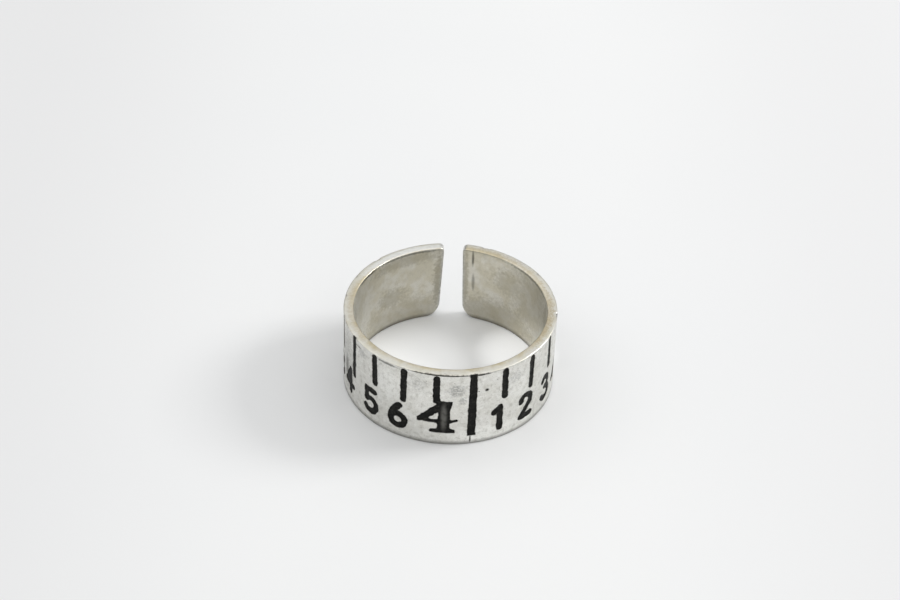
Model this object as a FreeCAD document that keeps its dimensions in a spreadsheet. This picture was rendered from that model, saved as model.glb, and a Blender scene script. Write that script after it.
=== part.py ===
import FreeCAD, Part
import math
import os

import Sketcher

# Open, adjustable silver band ring whose outer face is marked like a tape measure.
# Millimetres, +Z up. The origin is the middle of the finger opening, level with the bottom edge.
# Bearings are degrees round +Z, measured from the front (-Y) towards +X. The gap is at the back (+Y).

Vector = FreeCAD.Vector

# ---------------------------------------------------------------- sizes
SIZES = {
    # silver strip
    "outer_radius": 9.90,
    "strip_thickness": 0.95,
    "strip_width": 8.20,
    "edge_round": 0.11,
    # free ends, either side of the gap
    "right_end_bearing": 173.5,
    "left_end_bearing": -173.8,
    "lower_corner_radius": 1.60,
    "upper_corner_radius": 0.50,
    # flexing joints between the front and the arms
    "joint_running_clearance": 0.03,
    "socket_lip_setback": 0.35,
    # tape-measure scale
    "inch_line_bearing": 13.2,
    "eighth_pitch": 3.175,
    "recess_depth": 0.30,
    "enamel_sink": 0.05,
    "enamel_edge_margin": 0.06,
    # rule lines
    "inch_line_width": 0.70,
    "inch_line_foot": 1.00,
    "half_line_width": 0.56,
    "half_line_foot": 3.35,
    "tick_width": 0.56,
    "tick_foot": 4.45,
    "tick_foot_over_numeral": 5.25,
    "tick_head": 8.00,
    # small figures that number the eighths
    "figure_stroke": 0.60,
    "figure_foot": 0.95,
    "figure_height": 3.05,
    "figure_lead": 0.55,
    "half_figure_lead": 1.05,
    # large inch numerals
    "numeral_stroke": 0.72,
    "numeral_foot": 1.40,
    "numeral_height": 3.70,
    "numeral_lead": 3.23,
}

DERIVED = {
    "inner_radius": "=outer_radius - strip_thickness",
    "middle_radius": "=outer_radius - strip_thickness / 2",
    "floor_radius": "=outer_radius - recess_depth",
    "enamel_radius": "=outer_radius - enamel_sink",
    "cutter_depth": "=4 * strip_thickness",
    "eighth_angle": "=eighth_pitch / outer_radius * 180 / pi",
    "lead_angle": "=figure_lead / outer_radius * 180 / pi",
    "half_lead_angle": "=half_figure_lead / outer_radius * 180 / pi",
    "numeral_angle": "=numeral_lead / outer_radius * 180 / pi",
    "left_joint_bearing": "=inch_line_bearing - 3.5 * eighth_angle - lead_angle",
    "right_joint_bearing": "=inch_line_bearing + 2.5 * eighth_angle - lead_angle",
    "lip_angle": "=socket_lip_setback / middle_radius * 180 / pi",
    "line_head": "=strip_width + inch_line_width",
}

FIRST_TICK = -9
LAST_TICK = 8
EIGHTHS = 8
FIRST_INCH = 3
FIGURED_EIGHTHS = range(1, 7)

# ---------------------------------------------------------------- shapes of the figures
# Strokes are drawn about the middle of the figure's foot. ("line", points) is an open run of straight
# strokes and ("arc", x, y, radius, start, end) is a bowl; both are centre lines in a figure whose
# centre line is one unit high. ("plate", points) is a closed flat piece in a figure one unit high.
FIGURES = {
    1: [("line", [(-0.18, 0.80), (0.06, 1.00), (0.06, 0.00)])],
    2: [
        ("arc", 0.00, 0.75, 0.25, -35, 180),
        ("line", [(0.205, 0.607), (-0.26, 0.00), (0.27, 0.00)]),
    ],
    3: [
        ("arc", 0.00, 0.775, 0.225, -90, 150),
        ("arc", 0.00, 0.275, 0.275, -150, 90),
    ],
    4: [
        ("line", [(0.12, 1.00), (-0.28, 0.30), (0.32, 0.30)]),
        ("plate", [(-0.01, 0.00), (0.20, 0.00), (0.20, 0.90), (-0.01, 0.90)]),
    ],
    5: [
        ("line", [(0.22, 1.00), (-0.20, 1.00), (-0.20, 0.53)]),
        ("arc", 0.00, 0.30, 0.30, -145, 132),
    ],
    6: [
        ("arc", 0.00, 0.28, 0.28, -180, 0),
        ("arc", 0.00, 0.28, 0.28, 0, 180),
        ("arc", 0.62, 0.28, 0.90, 128, 180),
    ],
}

# Large slab-serif inch numerals, drawn the same way.
NUMERALS = {
    3: [
        ("arc", 0.00, 0.775, 0.225, -90, 150),
        ("arc", 0.00, 0.275, 0.275, -150, 90),
        ("plate", [(-0.32, 0.64), (-0.21, 0.64), (-0.17, 0.98), (-0.32, 0.98)]),
        ("plate", [(-0.36, 0.03), (-0.21, 0.05), (-0.25, 0.34), (-0.36, 0.34)]),
    ],
    4: [
        ("plate", [(0.03, 0.00), (0.34, 0.00), (0.345, 0.60), (0.36, 0.81), (0.40, 1.00), (0.07, 1.00)]),
        ("plate", [(-0.155, 0.00), (0.47, 0.00), (0.46, 0.10), (0.35, 0.14), (0.02, 0.14), (-0.135, 0.09)]),
        ("plate", [(-0.46, 0.32), (0.51, 0.335), (0.51, 0.41), (-0.45, 0.415)]),
        ("plate", [(0.09, 1.00), (-0.47, 0.42), (-0.47, 0.33), (-0.39, 0.325), (0.08, 0.70)]),
    ],
    5: [
        ("line", [(0.30, 1.00), (-0.25, 1.00), (-0.25, 0.57)]),
        ("arc", 0.00, 0.31, 0.31, -148, 142),
        ("plate", [(0.22, 0.70), (0.34, 0.70), (0.37, 1.00), (0.22, 1.00)]),
        ("plate", [(-0.37, 0.03), (-0.22, 0.05), (-0.25, 0.34), (-0.37, 0.34)]),
    ],
}

doc = FreeCAD.newDocument("band_ring")


# ---------------------------------------------------------------- document helpers
def make_sheet():
    """Put every size in the spreadsheet, each with its own alias."""
    sheet = doc.addObject("Spreadsheet::Sheet", "dims")
    cells = list(SIZES.items()) + list(DERIVED.items())
    for row, (name, value) in enumerate(cells, start=1):
        sheet.set(f"A{row}", "'" + name)
        sheet.set(f"B{row}", str(value))
        sheet.setAlias(f"B{row}", name)
    doc.recompute()
    return sheet


def origin_plane(body, role):
    """The body's own origin plane with the given role."""
    return next(item for item in body.Origin.OriginFeatures if item.Role == role)


def sketch_on(body, role, name):
    """A new sketch lying flat on one of the body's origin planes."""
    sketch = body.newObject("Sketcher::SketchObject", name)
    sketch.AttachmentSupport = (origin_plane(body, role), [""])
    sketch.MapMode = "FlatFace"
    return sketch


def drive(sketch, constraint, expression):
    """Add one dimension to a sketch and bind it to the spreadsheet."""
    index = sketch.addConstraint(constraint)
    sketch.setExpression(f"Constraints[{index}]", expression)


def place_point(sketch, geometry, point, x_expression, y_expression):
    """Tie one point of a sketch to distances from the sketch origin."""
    x, y = sketch.getPoint(geometry, point).x, sketch.getPoint(geometry, point).y
    drive(sketch, Sketcher.Constraint("DistanceX", -1, 1, geometry, point, x), x_expression)
    drive(sketch, Sketcher.Constraint("DistanceY", -1, 1, geometry, point, y), y_expression)


# ---------------------------------------------------------------- silver strip
def turn_to_bearing(sketch, expression):
    """Swing an XZ sketch round the ring axis so that its +X side points along a bearing."""
    rotation = FreeCAD.Rotation(Vector(0, 1, 0), 0)
    sketch.AttachmentOffset = FreeCAD.Placement(Vector(0, 0, 0), rotation)
    sketch.setExpression("AttachmentOffset.Rotation.Angle", expression)


def strip_section(body, start_expression):
    """Cross-section of the strip with its four long edges rounded, at the starting bearing."""
    sketch = sketch_on(body, "XZ_Plane", "section")
    inner = SIZES["outer_radius"] - SIZES["strip_thickness"]
    outer = SIZES["outer_radius"]
    top = SIZES["strip_width"]
    soft = SIZES["edge_round"]
    corners = [
        (inner + soft, soft, 180, 270),
        (outer - soft, soft, 270, 360),
        (outer - soft, top - soft, 0, 90),
        (inner + soft, top - soft, 90, 180),
    ]
    arcs = []
    for x, y, start, end in corners:
        circle = Part.Circle(Vector(x, y, 0), Vector(0, 0, 1), soft)
        arc = Part.ArcOfCircle(circle, math.radians(start), math.radians(end))
        arcs.append(sketch.addGeometry(arc))
    for near, far in zip(arcs, arcs[1:] + arcs[:1]):
        side = Part.LineSegment(sketch.getPoint(near, 2), sketch.getPoint(far, 1))
        line = sketch.addGeometry(side)
        sketch.addConstraint(Sketcher.Constraint("Tangent", near, 2, line, 1))
        sketch.addConstraint(Sketcher.Constraint("Tangent", line, 2, far, 1))
    x_sides = ["dims.inner_radius + dims.edge_round", "dims.outer_radius - dims.edge_round"]
    y_sides = ["dims.edge_round", "dims.strip_width - dims.edge_round"]
    place_point(sketch, arcs[0], 3, x_sides[0], y_sides[0])
    place_point(sketch, arcs[2], 3, x_sides[1], y_sides[1])
    for arc in arcs:
        drive(sketch, Sketcher.Constraint("Radius", arc, soft), "dims.edge_round")
    turn_to_bearing(sketch, start_expression)
    return sketch


def bend_strip(body, start_expression, span_expression):
    """Turn the section round the ring axis, anticlockwise seen from above."""
    section = strip_section(body, start_expression)
    doc.recompute()
    bend = body.newObject("PartDesign::Revolution", "bent_strip")
    bend.Profile = section
    bend.ReferenceAxis = (section, ["V_Axis"])
    bend.setExpression("Angle", span_expression)
    doc.recompute()
    return bend


def joint_circle(body, joint, name, radius_expression):
    """A circle in plan, centred on a joint axis in the middle of the strip."""
    sketch = sketch_on(body, "XY_Plane", name)
    doc.recompute()
    circle = Part.Circle(Vector(1, -1, 0), Vector(0, 0, 1), 1)
    edge = sketch.addGeometry(circle)
    x_expression = f"dims.middle_radius * sin(dims.{joint}_joint_bearing * 1 deg)"
    y_expression = f"-dims.middle_radius * cos(dims.{joint}_joint_bearing * 1 deg)"
    place_point(sketch, edge, 3, x_expression, y_expression)
    drive(sketch, Sketcher.Constraint("Radius", edge, 1), radius_expression)
    return sketch


def make_front():
    """Front of the strip, with a half-round nose standing in each joint."""
    body = doc.addObject("PartDesign::Body", "front_strip")
    bend_strip(
        body,
        "dims.left_joint_bearing - 90",
        "dims.right_joint_bearing - dims.left_joint_bearing",
    )
    for joint in ("left", "right"):
        outline = joint_circle(body, joint, f"{joint}_nose", "dims.strip_thickness / 2")
        nose = body.newObject("PartDesign::Pad", f"{joint}_nose_pad")
        nose.Profile = outline
        nose.setExpression("Length", "dims.strip_width")
        doc.recompute()
    return body


def corner_cutter(body, side, bearing_expression):
    """Outline of the metal taken off the two corners of a free end.

    The sketch looks outwards at the free end, which runs up its vertical axis. The arm lies on
    the sketch's right when side is +1 and on its left when side is -1.
    """
    sketch = sketch_on(body, "XZ_Plane", "end_corners")
    turn_to_bearing(sketch, bearing_expression)
    doc.recompute()
    width = SIZES["strip_width"]
    lower = SIZES["lower_corner_radius"]
    upper = SIZES["upper_corner_radius"]
    corners = [
        (lower, lower, 0, 180 if side > 0 else 270, "dims.lower_corner_radius"),
        (upper, width - upper, width, 90 if side > 0 else 0, "dims.upper_corner_radius"),
    ]
    for radius, height, edge, start, size in corners:
        circle = Part.Circle(Vector(side * radius, height, 0), Vector(0, 0, 1), radius)
        arc = Part.ArcOfCircle(circle, math.radians(start), math.radians(start + 90))
        curve = sketch.addGeometry(arc)
        point = Vector(0, edge, 0)
        first = sketch.addGeometry(Part.LineSegment(sketch.getPoint(curve, 2), point))
        second = sketch.addGeometry(Part.LineSegment(point, sketch.getPoint(curve, 1)))
        sketch.addConstraint(Sketcher.Constraint("Tangent", curve, 2, first, 1))
        sketch.addConstraint(Sketcher.Constraint("Coincident", first, 2, second, 1))
        sketch.addConstraint(Sketcher.Constraint("Tangent", second, 2, curve, 1))
        level = size if edge == 0 else f"dims.strip_width - {size}"
        place_point(sketch, curve, 3, f"{side} * {size}", level)
        drive(sketch, Sketcher.Constraint("Radius", curve, radius), size)
        corner_level = "0 mm" if edge == 0 else "dims.strip_width"
        place_point(sketch, first, 2, "0 mm", corner_level)
    return sketch


def make_arm(joint, start_expression, span_expression, end_expression, side):
    """One arm: bent strip, socket for the front's nose, rounded free end."""
    body = doc.addObject("PartDesign::Body", f"{joint}_arm_strip")
    bend_strip(body, start_expression, span_expression)
    radius = "dims.strip_thickness / 2 + dims.joint_running_clearance"
    outline = joint_circle(body, joint, "socket", radius)
    socket = body.newObject("PartDesign::Pocket", "socket_pocket")
    socket.Profile = outline
    socket.Type = "ThroughAll"
    socket.Midplane = True
    doc.recompute()
    corners = corner_cutter(body, side, end_expression)
    trim = body.newObject("PartDesign::Pocket", "end_corners_pocket")
    trim.Profile = corners
    trim.setExpression("Length", "dims.outer_radius + 1")
    trim.Reversed = True
    doc.recompute()
    return body


# ---------------------------------------------------------------- marks
def mark_sketch(name, bearing_expression, foot_expression):
    """An upright sketch facing outwards at a bearing, touching the face of the strip."""
    sketch = doc.addObject("Sketcher::SketchObject", name)
    bearing = f"({bearing_expression})"
    across = f"dims.outer_radius * sin({bearing} * 1 deg)"
    back = f"-dims.outer_radius * cos({bearing} * 1 deg)"
    spot = f"create(<<vector>>; {across}; {back}; {foot_expression})"
    turn = f"create(<<rotation>>; {bearing}; 0; 90)"
    sketch.setExpression("Placement", f"create(<<placement>>; {spot}; {turn})")
    return sketch


def draw_run(sketch, points, unit, scale, closed):
    """Straight segments through the points, drawn at one unit and tied to the spreadsheet."""
    pairs = list(zip(points, points[1:]))
    if closed:
        pairs.append((points[-1], points[0]))
    segments = []
    for (x0, y0), (x1, y1) in pairs:
        segment = Part.LineSegment(Vector(x0, y0, 0) * unit, Vector(x1, y1, 0) * unit)
        segments.append(sketch.addGeometry(segment))
    for near, far in zip(segments, segments[1:]):
        sketch.addConstraint(Sketcher.Constraint("Coincident", near, 2, far, 1))
    if closed:
        sketch.addConstraint(Sketcher.Constraint("Coincident", segments[-1], 2, segments[0], 1))
    spots = [(segments[0], 1)] + [(segment, 2) for segment in segments]
    for (segment, end), (x, y) in zip(spots, points):
        place_point(sketch, segment, end, f"{x} * {scale}", f"{y} * {scale}")


def draw_bowl(sketch, x, y, radius, start, end, unit, scale):
    """One arc of a figure, drawn at one unit and tied to the spreadsheet."""
    circle = Part.Circle(Vector(x, y, 0) * unit, Vector(0, 0, 1), radius * unit)
    arc = sketch.addGeometry(Part.ArcOfCircle(circle, math.radians(start), math.radians(end)))
    place_point(sketch, arc, 3, f"{x} * {scale}", f"{y} * {scale}")
    drive(sketch, Sketcher.Constraint("Radius", arc, radius * unit), f"{radius} * {scale}")


def extrude(profile):
    """Push an outline both ways through the strip."""
    solid = doc.addObject("Part::Extrusion", profile.Name + "_solid")
    solid.Base = profile
    solid.DirMode = "Normal"
    solid.Solid = True
    solid.Symmetric = True
    solid.setExpression("LengthFwd", "dims.cutter_depth")
    return solid


def thicken(sketch, half_width_expression):
    """Give a centre line its width, with round ends and corners."""
    outline = doc.addObject("Part::Offset2D", sketch.Name + "_outline")
    outline.Source = sketch
    outline.Mode = "Pipe"
    outline.Join = "Arc"
    outline.setExpression("Value", half_width_expression)
    return outline


def join(solids, name):
    """One solid from the strokes of a figure."""
    if len(solids) == 1:
        return solids[0]
    union = doc.addObject("Part::MultiFuse", name + "_union")
    union.Shapes = solids
    return union


def square_line(name, bearing, width, foot, head):
    """A rule line with square ends; foot and head are the heights of its two ends."""
    sketch = mark_sketch(name + "_outline", bearing, foot)
    corners = [(-0.5, 0), (0.5, 0), (0.5, 1), (-0.5, 1)]
    points = [Vector(x, y, 0) for x, y in corners]
    sides = [
        sketch.addGeometry(Part.LineSegment(near, far))
        for near, far in zip(points, points[1:] + points[:1])
    ]
    for near, far in zip(sides, sides[1:] + sides[:1]):
        sketch.addConstraint(Sketcher.Constraint("Coincident", near, 2, far, 1))
    for side, (x, y) in zip(sides, corners):
        place_point(sketch, side, 1, f"{x} * {width}", f"{y} * ({head} - {foot})")
    return extrude(sketch)


def round_line(name, bearing, width, foot, head):
    """A rule line with round ends; foot and head are the heights of its two ends."""
    sketch = mark_sketch(name + "_outline", bearing, foot)
    ends = [(0.5, 180, 360), (2.0, 0, 180)]
    heights = [f"{width} / 2", f"{head} - {foot} - {width} / 2"]
    caps = []
    for (y, start, end), height in zip(ends, heights):
        circle = Part.Circle(Vector(0, y, 0), Vector(0, 0, 1), 0.3)
        cap = sketch.addGeometry(Part.ArcOfCircle(circle, math.radians(start), math.radians(end)))
        place_point(sketch, cap, 3, "0 mm", height)
        drive(sketch, Sketcher.Constraint("Radius", cap, 0.3), f"{width} / 2")
        caps.append(cap)
    for near, far in (caps, reversed(caps)):
        side = Part.LineSegment(sketch.getPoint(near, 2), sketch.getPoint(far, 1))
        line = sketch.addGeometry(side)
        sketch.addConstraint(Sketcher.Constraint("Tangent", near, 2, line, 1))
        sketch.addConstraint(Sketcher.Constraint("Tangent", line, 2, far, 1))
    return extrude(sketch)


def figure_mark(name, strokes, bearing, size):
    """A small figure or a large numeral, built up from its strokes."""
    stroke = f"dims.{size}_stroke"
    rise = f"(dims.{size}_height - {stroke})"
    unit = SIZES[f"{size}_height"] - SIZES[f"{size}_stroke"]
    baseline = f"dims.{size}_foot + {stroke} / 2"
    solids = []
    for number, (kind, *shape) in enumerate(strokes, start=1):
        foot = f"dims.{size}_foot" if kind == "plate" else baseline
        sketch = mark_sketch(f"{name}_stroke_{number}", bearing, foot)
        if kind == "line":
            draw_run(sketch, shape[0], unit, rise, closed=False)
            solids.append(extrude(thicken(sketch, f"{stroke} / 2")))
        elif kind == "arc":
            draw_bowl(sketch, *shape, unit, rise)
            solids.append(extrude(thicken(sketch, f"{stroke} / 2")))
        else:
            draw_run(sketch, shape[0], unit, f"dims.{size}_height", closed=True)
            solids.append(extrude(sketch))
    return join(solids, name)


def bearing_of(count):
    """Bearing of the line that stands so many eighths of an inch from the inch line."""
    return f"dims.inch_line_bearing + {count} * dims.eighth_angle"


def carrier_of(count):
    """Which piece of the strip carries a mark: the joints lie between the eighths."""
    if count < -3.5:
        return "left"
    if count > 2.5:
        return "right"
    return "front"


def make_marks():
    """Every mark as (node name, carrying piece, solid that cuts right through the face)."""
    marks = []
    for count in range(FIRST_TICK, LAST_TICK + 1):
        inch = FIRST_INCH + 1 + count // EIGHTHS
        eighth = count % EIGHTHS
        carrier = carrier_of(count)
        bearing = bearing_of(count)
        if eighth == 0:
            name = f"inch_line_{inch}"
            solid = square_line(
                name, bearing, "dims.inch_line_width", "dims.inch_line_foot", "dims.line_head"
            )
            marks.append((name, carrier, solid))
            numeral = f"inch_numeral_{inch}"
            seat = f"{bearing} - dims.numeral_angle"
            solid = figure_mark(numeral, NUMERALS[inch], seat, "numeral")
            marks.append((numeral, carrier, solid))
        elif eighth == EIGHTHS // 2:
            name = f"half_inch_line_{inch}_4_8"
            solid = round_line(
                name, bearing, "dims.half_line_width", "dims.half_line_foot", "dims.line_head"
            )
            marks.append((name, carrier, solid))
        else:
            name = f"tick_{inch}_{eighth}_8"
            foot = "dims.tick_foot_over_numeral" if eighth == EIGHTHS - 1 else "dims.tick_foot"
            solid = round_line(name, bearing, "dims.tick_width", foot, "dims.tick_head")
            marks.append((name, carrier, solid))
        if eighth in FIGURED_EIGHTHS and count > FIRST_TICK:
            figure = f"figure_{inch}_{eighth}_8"
            lead = "dims.half_lead_angle" if eighth == EIGHTHS // 2 else "dims.lead_angle"
            solid = figure_mark(figure, FIGURES[eighth], f"{bearing} - {lead}", "figure")
            marks.append((figure, carrier, solid))
    return marks


def make_shell(name, radius_expression, height_expression):
    """Tube from the recess floor out to a radius, used to trim every mark to depth."""
    outside = doc.addObject("Part::Cylinder", name + "_outside")
    outside.setExpression("Radius", radius_expression)
    outside.setExpression("Height", height_expression)
    inside = doc.addObject("Part::Cylinder", name + "_inside")
    inside.setExpression("Radius", "dims.floor_radius")
    inside.setExpression("Height", height_expression)
    shell = doc.addObject("Part::Cut", name)
    shell.Base = outside
    shell.Tool = inside
    return shell


def trim(solid, shell, name):
    """The part of a mark that lies inside a shell."""
    common = doc.addObject("Part::Common", name)
    common.Base = solid
    common.Tool = shell
    return common


# ---------------------------------------------------------------- build
make_sheet()

strips = {
    "front": make_front(),
    "left": make_arm(
        "left",
        "dims.left_end_bearing - 90",
        "dims.left_joint_bearing - dims.lip_angle - dims.left_end_bearing",
        "dims.left_end_bearing",
        side=1,
    ),
    "right": make_arm(
        "right",
        "dims.right_joint_bearing + dims.lip_angle - 90",
        "dims.right_end_bearing - dims.right_joint_bearing - dims.lip_angle",
        "dims.right_end_bearing",
        side=-1,
    ),
}

marks = make_marks()
recess_shell = make_shell("recess_shell", "dims.outer_radius + 1", "dims.strip_width + 1")
enamel_shell = make_shell(
    "enamel_shell", "dims.enamel_radius", "dims.strip_width - dims.enamel_edge_margin"
)
doc.recompute()

nodes = {}
STRIP_NAMES = {"front": "band_front", "left": "band_left_arm", "right": "band_right_arm"}
for piece, strip in strips.items():
    cutters = doc.addObject("Part::Compound", piece + "_cutters")
    cutters.Links = [solid for _, carrier, solid in marks if carrier == piece]
    recesses = trim(cutters, recess_shell, piece + "_recesses")
    marked = doc.addObject("Part::Cut", STRIP_NAMES[piece])
    marked.Base = strip
    marked.Tool = recesses
    marked.Label = STRIP_NAMES[piece]
    nodes[STRIP_NAMES[piece]] = marked
for name, _, solid in marks:
    enamel = trim(solid, enamel_shell, "enamel_" + name)
    enamel.Label = "enamel_" + name
    nodes[enamel.Label] = enamel
doc.recompute()

# ---------------------------------------------------------------- check and export
for item in doc.Objects:
    if "Invalid" in item.State or "Error" in item.State:
        raise RuntimeError(f"{item.Label} did not recompute: {item.State}")

os.makedirs("parts", exist_ok=True)
for name, item in nodes.items():
    shape = item.Shape
    if shape.isNull() or not shape.isValid() or len(shape.Solids) != 1:
        raise RuntimeError(f"{name} is not one valid solid")
    shape.Solids[0].exportStep(f"parts/{name}.step")
    print(f"{name}: {shape.Volume:.3f} mm3")
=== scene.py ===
import math

import bmesh
import bpy
import numpy as np
from mathutils import Matrix, Vector, noise
from mathutils.geometry import delaunay_2d_cdt


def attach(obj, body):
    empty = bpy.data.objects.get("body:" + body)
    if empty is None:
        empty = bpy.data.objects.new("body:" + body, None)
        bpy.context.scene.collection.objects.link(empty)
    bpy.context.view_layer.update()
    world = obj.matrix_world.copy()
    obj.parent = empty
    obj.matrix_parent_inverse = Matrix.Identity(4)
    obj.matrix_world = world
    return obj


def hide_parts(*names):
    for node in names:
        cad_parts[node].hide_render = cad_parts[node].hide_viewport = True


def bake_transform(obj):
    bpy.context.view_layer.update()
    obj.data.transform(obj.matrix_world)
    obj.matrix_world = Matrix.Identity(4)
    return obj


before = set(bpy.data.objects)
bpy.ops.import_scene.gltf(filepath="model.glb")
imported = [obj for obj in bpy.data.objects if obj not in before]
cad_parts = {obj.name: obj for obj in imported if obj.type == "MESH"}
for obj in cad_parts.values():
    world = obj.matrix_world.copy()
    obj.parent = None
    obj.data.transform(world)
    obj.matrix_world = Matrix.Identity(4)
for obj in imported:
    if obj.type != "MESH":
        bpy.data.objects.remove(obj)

# Open silver band ring marked like a tape measure. Lengths are millimetres until mesh_object() turns
# them into metres. Bearings are degrees round +Z from the front (-Y) towards +X.

# ---------------------------------------------------------------- sizes
OUTER = 9.90
THICK = 0.95
WIDTH = 8.20
EDGE = 0.11
CORNER_ARC = EDGE * math.pi / 2

RIGHT_END = 173.5
LEFT_END = -173.8
LEFT_END_SLANT = 0.40  # how much further the top of each end reaches than its foot
RIGHT_END_SLANT = 0.22
SLANT_REACH = 3.0
LOWER_CORNER = 1.60
UPPER_CORNER = 0.50
INNER_BEVEL_RUN = 0.90
INNER_BEVEL_DEPTH = 0.16
END_ZONE = 1.65  # the part of each arm that the end's rounding can reach

INCH_LINE = 13.2  # bearing of the front inch line, the 4
EIGHTH = math.degrees(3.175 / OUTER)
FIRST_COUNT = -9  # eighths are counted from the 4
LAST_COUNT = 8

DEGREE = math.radians(1) * OUTER  # length of one degree of bearing on the outer face

# Where the visible band is divided, and where each arm's bending starts and ends along +Y.
LEFT_SPLIT = -35.5
RIGHT_SPLIT = 37.0
BEND_START = -7.25
BEND_END = -2.50

MARKS_REACH = 28.2  # no mark is further along the outer face than this, either way

# Height of the metal against distance from the edge of a mark, positive outside it.
LIP = [(0.11, 0.0), (0.055, -0.010), (0.02, -0.032), (0.0, -0.075), (-0.022, -0.15), (-0.045, -0.30)]
ENAMEL_TOP = [(-0.004, -0.055), (-0.05, -0.080), (-0.12, -0.095)]
ENAMEL_FLOOR = -0.29

FIELD_STEP = 0.022
OUTLINE_STEP = 0.070
GRID_U = 0.24
GRID_V = 0.22
WELD = 2e-6  # in metres
CUT_TOLERANCE = 1e-7
FAR = 1e3  # stands for nowhere near


# ---------------------------------------------------------------- marks
# A mark is a list of shapes on the unrolled outer face: ("run", [(x, y, half-width), ...]),
# ("bowl", centre, radius, start, end, half-width), ("plate", points, corner) or ("clip", foot, head).
def run(points):
    return [("run", points)]


def even_run(points, half):
    return [("run", [(x, y, half) for x, y in points])]


def bowl(x, y, radius, start, end, half):
    return [("bowl", (x, y), radius, start, end, half)]


def plate(points, corner=0.07):
    return [("plate", points, corner)]


def clip(foot, head):
    """Cuts a mark off square at its foot and head."""
    return [("clip", foot, head)]


FIGURE_HALF = 0.30
FIGURE_RISE = 2.45
FIGURES = {
    1: [("line", [(-0.18, 0.80), (0.06, 1.00), (0.06, 0.00)])],
    2: [("arc", 0.00, 0.75, 0.25, -35, 180), ("line", [(0.205, 0.607), (-0.26, 0.00), (0.27, 0.00)])],
    3: [("arc", 0.00, 0.775, 0.225, -90, 150), ("arc", 0.00, 0.275, 0.275, -150, 90)],
    4: [("line", [(0.12, 1.00), (-0.28, 0.30), (0.32, 0.30)]), ("line", [(0.12, 1.00), (0.12, 0.00)])],
    5: [("line", [(0.22, 1.00), (-0.20, 1.00), (-0.20, 0.53)]), ("arc", 0.00, 0.30, 0.30, -145, 132)],
    6: [("arc", 0.00, 0.28, 0.28, -180, 180), ("arc", 0.62, 0.28, 0.90, 128, 180)],
}


def small_figure(number):
    """A plain figure about the middle of its foot."""
    shapes = []
    for kind, *shape in FIGURES[number]:
        if kind == "line":
            points = [(x * FIGURE_RISE, y * FIGURE_RISE + FIGURE_HALF) for x, y in shape[0]]
            shapes += even_run(points, FIGURE_HALF)
        else:
            x, y, radius, start, end = shape
            centre = (x * FIGURE_RISE, y * FIGURE_RISE + FIGURE_HALF)
            shapes += bowl(*centre, radius * FIGURE_RISE, start, end, FIGURE_HALF)
    return shapes


NUMERAL_HALF = 0.36
NUMERAL_RISE = 2.98


def large_numeral(number):
    """A slab-serif inch numeral about the middle of its foot."""
    half, rise = NUMERAL_HALF, NUMERAL_RISE
    if number == 4:
        stem = [(0.19, 0.30), (1.18, 0.30), (1.20, 1.20), (1.14, 2.20)]
        stem += [(1.22, 3.00), (1.40, 3.62), (0.32, 3.62)]
        foot = [(-0.50, 0.07), (1.66, 0.07), (1.62, 0.30), (1.20, 0.44), (0.20, 0.44), (-0.42, 0.26)]
        bar = [(-1.64, 1.24), (1.20, 1.28), (1.20, 1.44), (-1.60, 1.46)]
        diagonal = [(0.40, 3.62), (-1.68, 1.50), (-1.68, 1.26), (-1.42, 1.26), (0.36, 2.66)]
        nub = run([(1.20, 1.34, 0.17), (1.86, 1.44, 0.11)])
        return plate(stem) + plate(foot) + plate(bar) + plate(diagonal) + nub
    if number == 3:
        return (
            bowl(0.00, 0.775 * rise + half, 0.225 * rise, -90, 150, half)
            + bowl(0.00, 0.275 * rise + half, 0.275 * rise, -150, 90, half)
            + plate([(-1.11, 2.44), (-0.83, 2.44), (-0.70, 3.56), (-1.11, 3.56)])
            + plate([(-1.26, 0.18), (-0.85, 0.26), (-0.98, 1.19), (-1.26, 1.19)])
        )
    return (
        even_run([(0.89, rise + half), (-0.745, rise + half), (-0.745, 2.06)], half)
        + bowl(0.00, 0.31 * rise + half, 0.31 * rise, -148, 142, half)
        + plate([(0.88, 2.66), (1.19, 2.66), (1.30, 3.63), (0.88, 3.63)])
        + plate([(-1.30, 0.18), (-0.88, 0.26), (-1.00, 1.19), (-1.30, 1.19)])
    )


# The ticks were cut by hand: (foot, head, half-width at foot, half-width at head, lean) of each kind.
TICK_CUTS = [
    (4.35, 8.06, 0.32, 0.25, 0.05),
    (4.55, 8.10, 0.30, 0.28, -0.03),
    (4.22, 8.04, 0.29, 0.30, 0.02),
    (4.45, 8.08, 0.31, 0.26, -0.05),
]
TICK_BY_NUMERAL = (4.80, 8.00, 0.30, 0.26, -0.03)
NUMERAL_HEAD = 5.09  # where a numeral ends and the tick standing on it starts


def tick(count):
    """An eighth-inch tick."""
    cut = TICK_BY_NUMERAL if count % 8 == 7 else TICK_CUTS[count % len(TICK_CUTS)]
    foot, head, foot_half, head_half, lean = cut
    return run([(-lean, foot + foot_half, foot_half), (lean, head - head_half, head_half)])


def shift(shapes, x, y):
    """The same shapes moved along and up the face."""
    moved = []
    for kind, *shape in shapes:
        if kind == "run":
            moved.append((kind, [(px + x, py + y, half) for px, py, half in shape[0]]))
        elif kind == "bowl":
            (cx, cy), *rest = shape
            moved.append((kind, (cx + x, cy + y), *rest))
        elif kind == "plate":
            points, corner = shape
            moved.append((kind, [(px + x, py + y) for px, py in points], corner))
        else:
            moved.append((kind, shape[0] + y, shape[1] + y))
    return moved


# Each cut runs on over the upper edge before it is clipped square.
LINE_OVER = WIDTH + 0.3
LINE_HEAD = WIDTH - 0.015
INCH_CUT = [(0.07, 0.4, 0.36), (0.03, 2.6, 0.35), (0.08, 4.7, 0.34), (0.08, LINE_OVER, 0.30)]
INCH_FOOT = 1.0
HALF_INCH_CUT = [(0.0, 3.62, 0.28), (0.03, 5.6, 0.26), (0.0, LINE_OVER, 0.27)]
HALF_INCH_FOOT = 3.0

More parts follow.
